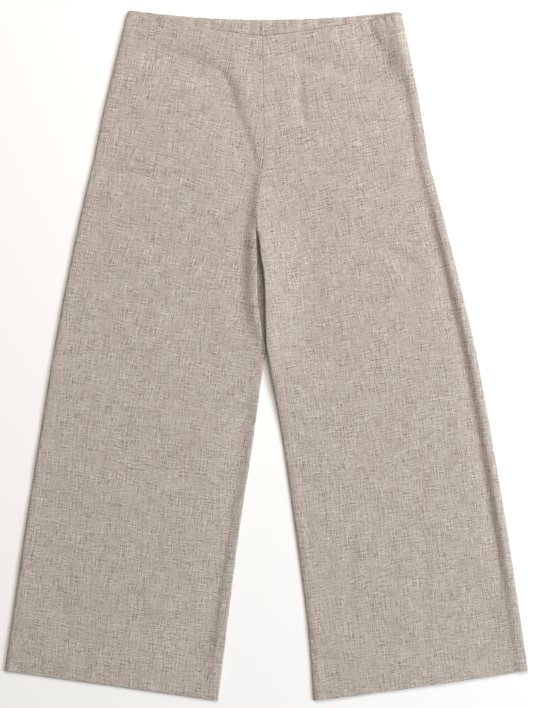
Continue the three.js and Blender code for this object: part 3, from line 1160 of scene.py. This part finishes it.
@dataclass
class LegPanel:
    """A front or back leg panel: its face, its turned-up hem and, on the front, its turned-in waist."""

    leg: LegCut
    layer: Layer
    row_spacing: float = 2.9 * MM
    end_rows: tuple[float, ...] = (0, 0.4 * MM, 1.0 * MM, 2.0 * MM, 3.5 * MM)
    gather_share: float = 0.35  # how strongly the casing's ripples show on the back

    def __post_init__(self) -> None:
        """Lays out the panel."""
        self.plan = PanelPlan(self.leg, self.layer)
        self.lie = Lie(self.leg.side)
        self.gathers = Gathers()

    def heights(self, plan: Plan) -> np.ndarray:
        """Heights of the panel's face at plan points."""
        if self.layer is Layer.FRONT:
            return self.lie.front(plan)
        return self.lie.back(plan) + self.gather_share * self.gathers.height_at(plan)

    def rows(self) -> tuple[np.ndarray, np.ndarray, np.ndarray]:
        """Every row of the sheet, turned edges and all.

        Returns:
            The distance down from the waist edge at which each row's plan is read, how far it stands out
            past that edge (upwards at the waist, downwards at the hem), and how far it has moved inwards.
        """
        length = self.plan.length
        face = graded_steps(self.end_rows, length, self.row_spacing, self.end_rows)
        turned_hem = length - graded_steps(self.end_rows, HEM_TURN, self.row_spacing)
        out, moved = Turn().arc()
        hem_down = np.concatenate([np.full(len(out), length), turned_hem[1:]])
        hem_out = np.concatenate([-out, np.zeros(len(turned_hem) - 1)])
        hem_moved = np.concatenate([moved, np.full(len(turned_hem) - 1, 2 * FOLD_RADIUS)])
        if self.layer is Layer.FRONT:
            turned = graded_steps(self.end_rows, WAIST_TURN, self.row_spacing)[::-1]
            out, moved = Turn().arc()
            top_down = np.concatenate([turned[:-1], np.zeros(len(out))])
            top_out = np.concatenate([np.zeros(len(turned) - 1), out[::-1]])
            top_moved = np.concatenate([np.full(len(turned) - 1, 2 * FOLD_RADIUS), moved[::-1]])
        else:
            out, moved = Turn().arc(quarter_only=True)
            top_down, top_out, top_moved = np.zeros(len(out)), out[::-1], moved[::-1]
        return (
            np.concatenate([top_down, face, hem_down]),
            np.concatenate([top_out, np.zeros(len(face)), hem_out]),
            np.concatenate([top_moved, np.zeros(len(face)), hem_moved]),
        )

    def build(self, material: bpy.types.Material) -> bpy.types.Object:
        """Makes the panel.

        Args:
            material: The linen.

        Returns:
            The panel's object.
        """
        down, out, moved = self.rows()
        plan = self.plan.lay(down)
        grain = self.plan.grain(plan)
        grain[..., 1] += (out + np.sign(out) * moved)[:, None]
        if self.layer is Layer.BACK:
            self.gathers.draw_down(plan)
        self.plan.draw_in(plan, moved[:, None] / (2 * FOLD_RADIUS), at_inner=True)
        inwards = -1 if self.layer is Layer.FRONT else 1
        z = self.heights(plan) + inwards * moved[:, None]
        points = np.stack([plan.x, plan.y + out[:, None], z], axis=-1)
        # Columns run outwards, so on the right leg the faces turn the other way.
        face_up = (self.layer is Layer.FRONT) == (self.leg.side is Side.LEFT)
        node = self.leg.node(f"{self.layer.value}_leg")
        piece = ClothSheet(f"linen_{node}", points, grain, face_up).build(material)
        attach(piece, "root")
        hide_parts(node, self.leg.node(f"{self.layer.value}_hem"))
        return piece

    def cut(self) -> tuple[tuple[float, float], float]:
        """The flat cut of the panel, turned edges included.

        Returns:
            The width and length that it fills, and its area.
        """
        plan = self.plan.lay(np.linspace(0, self.plan.length, 200))
        width = plan.from_inner[:, -1]
        turned = HEM_TURN + (WAIST_TURN if self.layer is Layer.FRONT else 0.0)
        area = float(width.mean()) * self.plan.length + float(width[-1]) * turned
        across = float(np.ptp(self.plan.grain(plan)[..., 0]))
        along = float(np.ptp(self.plan.grain(plan)[..., 1])) + turned
        return (across, along), area


@dataclass
class WaistCasing:
    """The band turned down inside the back waist, with the elastic's ripples and the centre back seam."""

    leg: LegCut
    row_spacing: float = 0.7 * MM
    column_spacing: float = 1.6 * MM
    puff: float = 1.6 * MM
    puff_rise: tuple[float, float] = (0.2 * MM, 2.4 * MM)
    puff_fade: tuple[float, float] = (20 * MM, 85 * MM)
    puff_loss: float = 0.8  # how much weaker it is beyond that
    gather_share: float = 0.9
    turn_fade: float = 4 * MM
    seam_ridge: float = 0.5 * MM
    seam_half_width: float = 1.9 * MM
    seam_softness: float = 0.5 * MM
    seam_groove: float = 0.4 * MM
    groove_reach: float = 0.6 * MM
    end_rows: tuple[float, ...] = (0, 0.4 * MM, 1.0 * MM, 2.0 * MM)

    def __post_init__(self) -> None:
        """Lays out the casing on the back panel's plan."""
        self.panel = LegPanel(self.leg, Layer.BACK)
        self.panel.plan.column_spacing = self.column_spacing
        self.gathers = Gathers()

    def puff_height(self, plan: Plan) -> np.ndarray:
        """How far the band stands up past the front's waist edge, most of all near the centre seam.

        Args:
            plan: The casing's plan points.

        Returns:
            The height added at each point.
        """
        front = PanelPlan(self.leg, Layer.FRONT).lay(np.array([0.0]))
        outwards = front.x[0] * self.leg.side.value
        edge_y = np.interp(plan.x * self.leg.side.value, outwards, front.y[0])
        strength = 1 - self.puff_loss * smooth(plan.from_inner, *self.puff_fade)
        return self.puff * strength * smooth(plan.y - edge_y, *self.puff_rise)

    def build(self, material: bpy.types.Material) -> bpy.types.Object:
        """Makes the casing.

        Args:
            material: The linen's inside.

        Returns:
            The casing's object.
        """
        out, moved = Turn().arc(quarter_only=True)
        face = graded_steps(self.end_rows, CASING_DEPTH, self.row_spacing)
        down = np.concatenate([np.zeros(len(out)), face])
        out = np.concatenate([out[::-1], np.zeros(len(face))])
        moved = np.concatenate([moved[::-1], np.zeros(len(face))])
        plan = self.panel.plan.lay(down)
        grain = self.panel.plan.grain(plan)
        self.gathers.draw_down(plan)
        self.panel.plan.draw_in(plan, 1 - moved[:, None] / (2 * FOLD_RADIUS), at_inner=False)
        half, soft = self.seam_half_width, self.seam_softness
        ridge = self.seam_ridge * (1 - smooth(plan.from_inner, half - soft, half))
        groove = self.seam_groove * np.exp(-(((plan.from_inner - half - soft) / self.groove_reach) ** 2))
        above = 2 * FOLD_RADIUS - moved[:, None]
        shown = smooth(plan.from_waist, 0, self.turn_fade)
        gathered = self.gather_share * self.gathers.height_at(plan)
        z = self.panel.heights(plan) + above
        z += shown * (gathered + ridge - groove + self.puff_height(plan))
        points = np.stack([plan.x, plan.y + out[:, None], z], axis=-1)
        node = self.leg.node("back_waist_casing")
        piece = ClothSheet(f"linen_{node}", points, grain, self.leg.side is Side.LEFT).build(material)
        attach(piece, "root")
        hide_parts(node)
        under = f"linen_{self.leg.node('back_leg')}"
        return piece


# ---------------------------------------------------------------------------------------------------
# Stitches
# ---------------------------------------------------------------------------------------------------


class StitchTree:
    """The Geometry Nodes tree that sets stitches along a line at an even pitch."""

    def __init__(self) -> None:
        """Builds the tree."""
        tree = bpy.data.node_groups.new("stitch_row", "GeometryNodeTree")
        self.tree = tree
        tree.interface.new_socket("Geometry", in_out="INPUT", socket_type="NodeSocketGeometry")
        for name, kind, value in (
            ("Pitch", "NodeSocketFloat", 3 * MM),
            ("Stitch Length", "NodeSocketFloat", 2 * MM),
            ("Thread Radius", "NodeSocketFloat", 0.15 * MM),
        ):
            tree.interface.new_socket(name, in_out="INPUT", socket_type=kind).default_value = value
        tree.interface.new_socket("Thread", in_out="INPUT", socket_type="NodeSocketMaterial")
        tree.interface.new_socket("Geometry", in_out="OUTPUT", socket_type="NodeSocketGeometry")
        given, result = tree.nodes.new("NodeGroupInput"), tree.nodes.new("NodeGroupOutput")
        line = tree.nodes.new("GeometryNodeMeshToCurve")
        points = tree.nodes.new("GeometryNodeCurveToPoints")
        points.mode = "LENGTH"
        ball = tree.nodes.new("GeometryNodeMeshUVSphere")
        ball.inputs["Segments"].default_value = 8
        ball.inputs["Rings"].default_value = 6
        ball.inputs["Radius"].default_value = 1.0
        half = tree.nodes.new("ShaderNodeMath")
        half.operation = "DIVIDE"
        half.inputs[1].default_value = 2.0
        size = tree.nodes.new("ShaderNodeCombineXYZ")
        place = tree.nodes.new("GeometryNodeInstanceOnPoints")
        real = tree.nodes.new("GeometryNodeRealizeInstances")
        shade = tree.nodes.new("GeometryNodeSetShadeSmooth")
        dress = tree.nodes.new("GeometryNodeSetMaterial")
        for source, target in (
            (given.outputs["Geometry"], line.inputs[0]),
            (line.outputs[0], points.inputs["Curve"]),
            (given.outputs["Pitch"], points.inputs["Length"]),
            (given.outputs["Stitch Length"], half.inputs[0]),
            (given.outputs["Thread Radius"], size.inputs[0]),
            (given.outputs["Thread Radius"], size.inputs[1]),
            (half.outputs[0], size.inputs[2]),
            (points.outputs["Points"], place.inputs["Points"]),
            (points.outputs["Rotation"], place.inputs["Rotation"]),
            (ball.outputs["Mesh"], place.inputs["Instance"]),
            (size.outputs[0], place.inputs["Scale"]),
            (place.outputs[0], real.inputs[0]),
            (real.outputs[0], shade.inputs[0]),
            (shade.outputs[0], dress.inputs["Geometry"]),
            (given.outputs["Thread"], dress.inputs["Material"]),
            (dress.outputs[0], result.inputs[0]),
        ):
            tree.links.new(source, target)

    def identifier(self, name: str) -> str:
        """The identifier of a named input."""
        for item in self.tree.interface.items_tree:
            if item.item_type == "SOCKET" and item.in_out == "INPUT" and item.name == name:
                return item.identifier
        raise KeyError(name)


@dataclass
class StitchRow:
    """A row of stitches along a line of points on a panel."""

    name: str
    tree: StitchTree
    pitch: float
    length: float
    radius: float

    def build(self, line: np.ndarray, thread: bpy.types.Material) -> bpy.types.Object:
        """Makes the row.

        Args:
            line: The points that the row follows.
            thread: The thread's finish.

        Returns:
            The stitches, as a plain mesh.
        """
        path = bpy.data.meshes.new(f"{self.name}_line")
        path.from_pydata(line.tolist(), [(i, i + 1) for i in range(len(line) - 1)], [])
        carrier = bpy.data.objects.new(f"{self.name}_line", path)
        bpy.context.scene.collection.objects.link(carrier)
        modifier = carrier.modifiers.new("stitches", "NODES")
        modifier.node_group = self.tree.tree
        modifier[self.tree.identifier("Pitch")] = self.pitch
        modifier[self.tree.identifier("Stitch Length")] = self.length
        modifier[self.tree.identifier("Thread Radius")] = self.radius
        modifier[self.tree.identifier("Thread")] = thread
        graph = bpy.context.evaluated_depsgraph_get()
        mesh = bpy.data.meshes.new_from_object(carrier.evaluated_get(graph))
        mesh.name = self.name
        bpy.data.objects.remove(carrier)
        bpy.data.meshes.remove(path)
        piece = bpy.data.objects.new(self.name, mesh)
        bpy.context.scene.collection.objects.link(piece)
        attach(piece, "root")
        return piece


@dataclass
class Stitching:
    """The rows of stitches that show: blind-hem pricks on the fronts and backs, and the casing's seam."""

    legs: tuple[LegCut, ...]
    tree: StitchTree = field(default_factory=StitchTree)
    hem_pitch: float = 7.5 * MM
    prick: float = 1.1 * MM
    casing_pitch: float = 3.2 * MM
    casing_stitch: float = 2.5 * MM
    hem_thread: float = 0.16 * MM
    casing_thread: float = 0.18 * MM
    casing_edge: float = 2 * MM
    clear_of_seams: float = 5 * MM

    def line(self, panel: LegPanel, down: float, outside: float) -> np.ndarray:
        """A line across a panel.

        Args:
            panel: The panel.
            down: How far below the waist edge it runs.
            outside: How far the line stands off the middle of the cloth, downwards if negative.

        Returns:
            Points from the inner edge to the side seam.
        """
        plan = panel.plan.lay(np.array([down]))
        z = panel.heights(plan) + outside
        points = np.stack([plan.x, plan.y, z], axis=-1)[0]
        clear = np.minimum(plan.from_inner[0], plan.from_side[0]) > self.clear_of_seams
        return points[clear]

    def build(self, thread: bpy.types.Material) -> list[bpy.types.Object]:
        """Makes every row."""
        made = []
        for leg in self.legs:
            for layer in Layer:
                panel = LegPanel(leg, layer)
                out = CLOTH / 2 if layer is Layer.FRONT else -CLOTH / 2 + 0.12 * MM
                name = f"stitches_{leg.node(layer.value + '_hem')}"
                row = StitchRow(name, self.tree, self.hem_pitch, self.prick, self.hem_thread)
                made.append(row.build(self.line(panel, panel.plan.length - HEM_TURN, out), thread))
            name = f"stitches_{leg.node('back_waist_casing')}"
            row = StitchRow(name, self.tree, self.casing_pitch, self.casing_stitch, self.casing_thread)
            panel = LegPanel(leg, Layer.BACK)
            line = self.line(panel, CASING_DEPTH - self.casing_edge, -CLOTH / 2 + 0.1 * MM)
            made.append(row.build(line, thread))
        return made


# ---------------------------------------------------------------------------------------------------
# Floor, light and camera
# ---------------------------------------------------------------------------------------------------


@dataclass(frozen=True)
class Studio:
    """A plain pale floor, soft light from the right, and a camera that looks straight down."""

    floor_size: float = 24.0
    camera_height: float = 3.2
    view_height: float = 0.9715
    view_centre: tuple[float, float] = (0.0, 0.00137)
    room_tint: tuple[float, float, float] = (1.0, 0.90, 0.79)
    room_strength: float = 0.27

    def floor(self) -> None:
        """Makes the floor."""
        half = self.floor_size / 2
        mesh = bpy.data.meshes.new("floor")
        corners = [(-half, -half, 0), (half, -half, 0), (half, half, 0), (-half, half, 0)]
        mesh.from_pydata(corners, [], [(0, 1, 2, 3)])
        material = bpy.data.materials.new("floor_paper")
        n = Nodes(material)
        shader = n.add("ShaderNodeBsdfPrincipled")
        shader.inputs["Base Color"].default_value = (0.96, 0.96, 0.96, 1.0)
        shader.inputs["Roughness"].default_value = 0.9
        shader.inputs["Specular IOR Level"].default_value = 0.1
        output = n.add("ShaderNodeOutputMaterial")
        n.put(shader.outputs[0], output.inputs[0])
        mesh.materials.append(material)
        floor = bpy.data.objects.new("floor", mesh)
        bpy.context.scene.collection.objects.link(floor)

    def lamp(
        self,
        name: str,
        place: tuple[float, float, float],
        size: float,
        power: float,
        tint: tuple[float, float, float],
    ) -> None:
        """Adds an area lamp that faces the garment.

        Args:
            name: The lamp's name.
            place: Where it stands.
            size: The side of its square.
            power: Its power in watts.
            tint: The light's colour.
        """
        light = bpy.data.lights.new(name, "AREA")
        light.size = size
        light.energy = power
        light.color = tint
        lamp = bpy.data.objects.new(name, light)
        bpy.context.scene.collection.objects.link(lamp)
        lamp.location = place
        away = np.array(place)
        tilt = math.acos(away[2] / float(np.linalg.norm(away)))
        lamp.rotation_euler = (tilt, 0.0, math.atan2(away[1], away[0]) + math.pi / 2)

    def light(self) -> None:
        """Adds the lamps and the room's light."""
        self.lamp("key", (4.2, 0.0, 2.8), 1.9, 199.5, (0.945, 1.005, 1.08))
        self.lamp("top", (0.75, 1.6, 2.1), 1.4, 43.0, (1.0, 0.94, 0.88))
        world = bpy.data.worlds.new("room")
        world.use_nodes = True
        background = world.node_tree.nodes["Background"]
        background.inputs["Color"].default_value = (*self.room_tint, 1.0)
        background.inputs["Strength"].default_value = self.room_strength
        bpy.context.scene.world = world
        bpy.context.scene.view_settings.view_transform = "Standard"

    def camera(self) -> None:
        """Adds the camera."""
        data = bpy.data.cameras.new("camera")
        data.sensor_width = 36.0
        data.lens = data.sensor_width * self.camera_height / self.view_height
        data.clip_end = 20.0
        camera = bpy.data.objects.new("camera", data)
        camera.location = (*self.view_centre, self.camera_height)
        bpy.context.scene.collection.objects.link(camera)
        bpy.context.scene.camera = camera

    def build(self) -> None:
        """Sets everything up."""
        self.floor()
        self.light()
        self.camera()


def main() -> None:
    """Builds the garment and the studio, in order, and reports each piece."""
    logging.basicConfig(level=logging.INFO, format="%(name)s: %(message)s")
    outside = LinenFinish("linen_outside").material()
    inside = LinenFinish("linen_inside").material()
    thread = ThreadFinish("sewing_thread").material()
    for leg in (RIGHT_LEG, LEFT_LEG):
        for layer in (Layer.BACK, Layer.FRONT):
            panel = LegPanel(leg, layer)
            piece = panel.build(outside)
            flat, area = panel.cut()
            under = ["floor"] if layer is Layer.BACK else [f"linen_{leg.node('back_leg')}"]
            faces = len(piece.data.polygons)
            LOG.info("%s: %d faces, cut %.3f by %.3f m, %.4f m2", piece.name, faces, *flat, area)
        casing = WaistCasing(leg).build(inside)
        LOG.info("%s: %d faces", casing.name, len(casing.data.polygons))
    for row in Stitching((RIGHT_LEG, LEFT_LEG)).build(thread):
        LOG.info("%s: %d faces", row.name, len(row.data.polygons))
    Studio().build()


if __name__ == "__main__":
    main()
